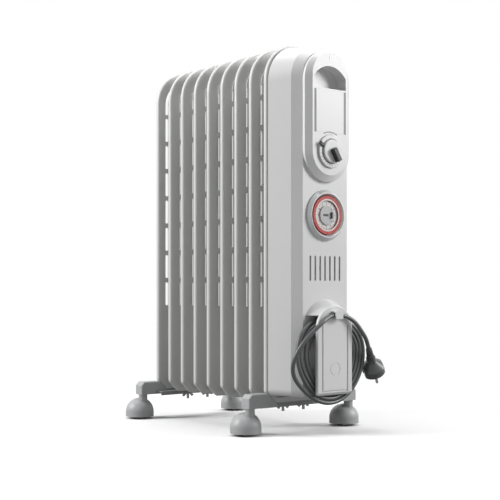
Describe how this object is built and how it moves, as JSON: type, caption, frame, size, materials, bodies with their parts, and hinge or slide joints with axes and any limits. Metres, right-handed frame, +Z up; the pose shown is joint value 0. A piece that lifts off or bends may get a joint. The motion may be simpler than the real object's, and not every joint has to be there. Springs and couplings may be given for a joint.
{
  "type": "oil filled radiator heater",
  "caption": "Free-standing oil filled radiator heater: finned steel body, front control housing with knob and timer, cord wrap, and swivel castors.",
  "frame": {"origin": "on the floor under the middle of the heater, measured without its free cord and plug", "axes": "+X to the right seen from the control side, -Y out of the control side, +Z up"},
  "size_m": [0.271, 0.4447, 0.64],
  "materials": {
    "painted_steel": "white powder coat, satin",
    "bright_steel": "zinc plated",
    "oil": null,
    "white_plastic": "moulded, semi-gloss",
    "silver_plastic": "silvery paint",
    "galvanised_steel": "galvanised",
    "crossbar_steel": "grey painted",
    "dark_plastic": "fine textured",
    "inner_plastic": "moulded",
    "red_plastic": "moulded",
    "light_grey_plastic": "fine textured",
    "wheel_plastic": "moulded",
    "cord_rubber": "soft PVC",
    "nickel_plate": "nickel plated"
  },
  "bodies": {
    "heater": {"castor_arms": "light_grey_plastic", "control_pod": "white_plastic", "cord_coil": "cord_rubber", "cord_gland": "cord_rubber", "cord_tail": "cord_rubber", "cord_wrap": "white_plastic", "cord_wrap_hood": "white_plastic", "crossbar_front": "crossbar_steel", "crossbar_rear": "crossbar_steel", "fin_1": "painted_steel", "fin_2": "painted_steel", "fin_3": "painted_steel", "fin_4": "painted_steel", "fin_5": "painted_steel", "fin_6": "painted_steel", "fin_7": "painted_steel", "fin_8": "painted_steel", "fin_9": "painted_steel", "heating_element": "bright_steel", "housing_back_panel": "galvanised_steel", "housing_shell": "white_plastic", "label_plate": "white_plastic", "oil_charge": "oil", "oil_header_collars": "painted_steel", "pilot_lamp_lens": "dark_plastic", "plug_body": "cord_rubber", "plug_pins": "nickel_plate", "power_switch_body": "inner_plastic", "terminal_block": "inner_plastic", "thermal_cutout": "inner_plastic", "thermostat_body": "inner_plastic", "timer_bezel": "silver_plastic", "timer_body": "inner_plastic", "timer_centre_disc": "white_plastic", "u_bolts": "bright_steel", "wing_nuts": "bright_steel"},
    "thermostat_knob_body": {"thermostat_knob": "white_plastic", "thermostat_grip": "dark_plastic", "thermostat_spindle": "bright_steel"},
    "power_selector": {"power_selector_ring": "white_plastic", "power_selector_tab": "dark_plastic"},
    "timer_dial_body": {"timer_dial": "white_plastic", "timer_tappets": "red_plastic"},
    "timer_mode": {"timer_mode_lever": "dark_plastic"},
    "castor_front_left": {"castor_front_left_hood": "light_grey_plastic", "castor_front_left_stem_and_axle": "bright_steel"},
    "castor_front_left_wheel_left_body": {"castor_front_left_wheel_left": "wheel_plastic"},
    "castor_front_left_wheel_right_body": {"castor_front_left_wheel_right": "wheel_plastic"},
    "castor_front_right": {"castor_front_right_hood": "light_grey_plastic", "castor_front_right_stem_and_axle": "bright_steel"},
    "castor_front_right_wheel_left_body": {"castor_front_right_wheel_left": "wheel_plastic"},
    "castor_front_right_wheel_right_body": {"castor_front_right_wheel_right": "wheel_plastic"},
    "castor_rear_left": {"castor_rear_left_hood": "light_grey_plastic", "castor_rear_left_stem_and_axle": "bright_steel"},
    "castor_rear_left_wheel_left_body": {"castor_rear_left_wheel_left": "wheel_plastic"},
    "castor_rear_left_wheel_right_body": {"castor_rear_left_wheel_right": "wheel_plastic"},
    "castor_rear_right": {"castor_rear_right_hood": "light_grey_plastic", "castor_rear_right_stem_and_axle": "bright_steel"},
    "castor_rear_right_wheel_left_body": {"castor_rear_right_wheel_left": "wheel_plastic"},
    "castor_rear_right_wheel_right_body": {"castor_rear_right_wheel_right": "wheel_plastic"}
  },
  "joints": [
    {"name": "castor_front_left_swivel", "type": "hinge", "parent": "heater", "child": "castor_front_left", "pos_m": [-0.11, -0.12595, 0.0375], "axis": [0, 0, 1], "continuous": true},
    {"name": "castor_front_left_wheel_left_spin", "type": "hinge", "parent": "castor_front_left", "child": "castor_front_left_wheel_left_body", "pos_m": [-0.1203, -0.11535, 0.015], "axis": [1, 0, 0], "continuous": true},
    {"name": "castor_front_left_wheel_right_spin", "type": "hinge", "parent": "castor_front_left", "child": "castor_front_left_wheel_right_body", "pos_m": [-0.0997, -0.11535, 0.015], "axis": [1, 0, 0], "continuous": true},
    {"name": "castor_front_right_swivel", "type": "hinge", "parent": "heater", "child": "castor_front_right", "pos_m": [0.11, -0.12595, 0.0375], "axis": [0, 0, 1], "continuous": true},
    {"name": "castor_front_right_wheel_left_spin", "type": "hinge", "parent": "castor_front_right", "child": "castor_front_right_wheel_left_body", "pos_m": [0.0997, -0.11535, 0.015], "axis": [1, 0, 0], "continuous": true},
    {"name": "castor_front_right_wheel_right_spin", "type": "hinge", "parent": "castor_front_right", "child": "castor_front_right_wheel_right_body", "pos_m": [0.1203, -0.11535, 0.015], "axis": [1, 0, 0], "continuous": true},
    {"name": "castor_rear_left_swivel", "type": "hinge", "parent": "heater", "child": "castor_rear_left", "pos_m": [-0.11, 0.18365, 0.0375], "axis": [0, 0, 1], "continuous": true},
    {"name": "castor_rear_left_wheel_left_spin", "type": "hinge", "parent": "castor_rear_left", "child": "castor_rear_left_wheel_left_body", "pos_m": [-0.1203, 0.19425, 0.015], "axis": [1, 0, 0], "continuous": true},
    {"name": "castor_rear_left_wheel_right_spin", "type": "hinge", "parent": "castor_rear_left", "child": "castor_rear_left_wheel_right_body", "pos_m": [-0.0997, 0.19425, 0.015], "axis": [1, 0, 0], "continuous": true},
    {"name": "castor_rear_right_swivel", "type": "hinge", "parent": "heater", "child": "castor_rear_right", "pos_m": [0.11, 0.18365, 0.0375], "axis": [0, 0, 1], "continuous": true},
    {"name": "castor_rear_right_wheel_left_spin", "type": "hinge", "parent": "castor_rear_right", "child": "castor_rear_right_wheel_left_body", "pos_m": [0.0997, 0.19425, 0.015], "axis": [1, 0, 0], "continuous": true},
    {"name": "castor_rear_right_wheel_right_spin", "type": "hinge", "parent": "castor_rear_right", "child": "castor_rear_right_wheel_right_body", "pos_m": [0.1203, 0.19425, 0.015], "axis": [1, 0, 0], "continuous": true},
    {"name": "thermostat_turn", "type": "hinge", "parent": "heater", "child": "thermostat_knob_body", "pos_m": [0, -0.19735, 0.46], "axis": [0, -1, 0], "range_deg": [-10, 270]},
    {"name": "power_selector_turn", "type": "hinge", "parent": "heater", "child": "power_selector", "pos_m": [0, -0.19735, 0.46], "axis": [0, -1, 0], "range_deg": [-90, 0]},
    {"name": "timer_dial_turn", "type": "hinge", "parent": "heater", "child": "timer_dial_body", "pos_m": [0, -0.18535, 0.357], "axis": [0, -1, 0], "continuous": true},
    {"name": "timer_mode_turn", "type": "hinge", "parent": "heater", "child": "timer_mode", "pos_m": [0.0085, -0.18535, 0.357], "axis": [0, -1, 0], "range_deg": [-20, 20]}
  ]
}
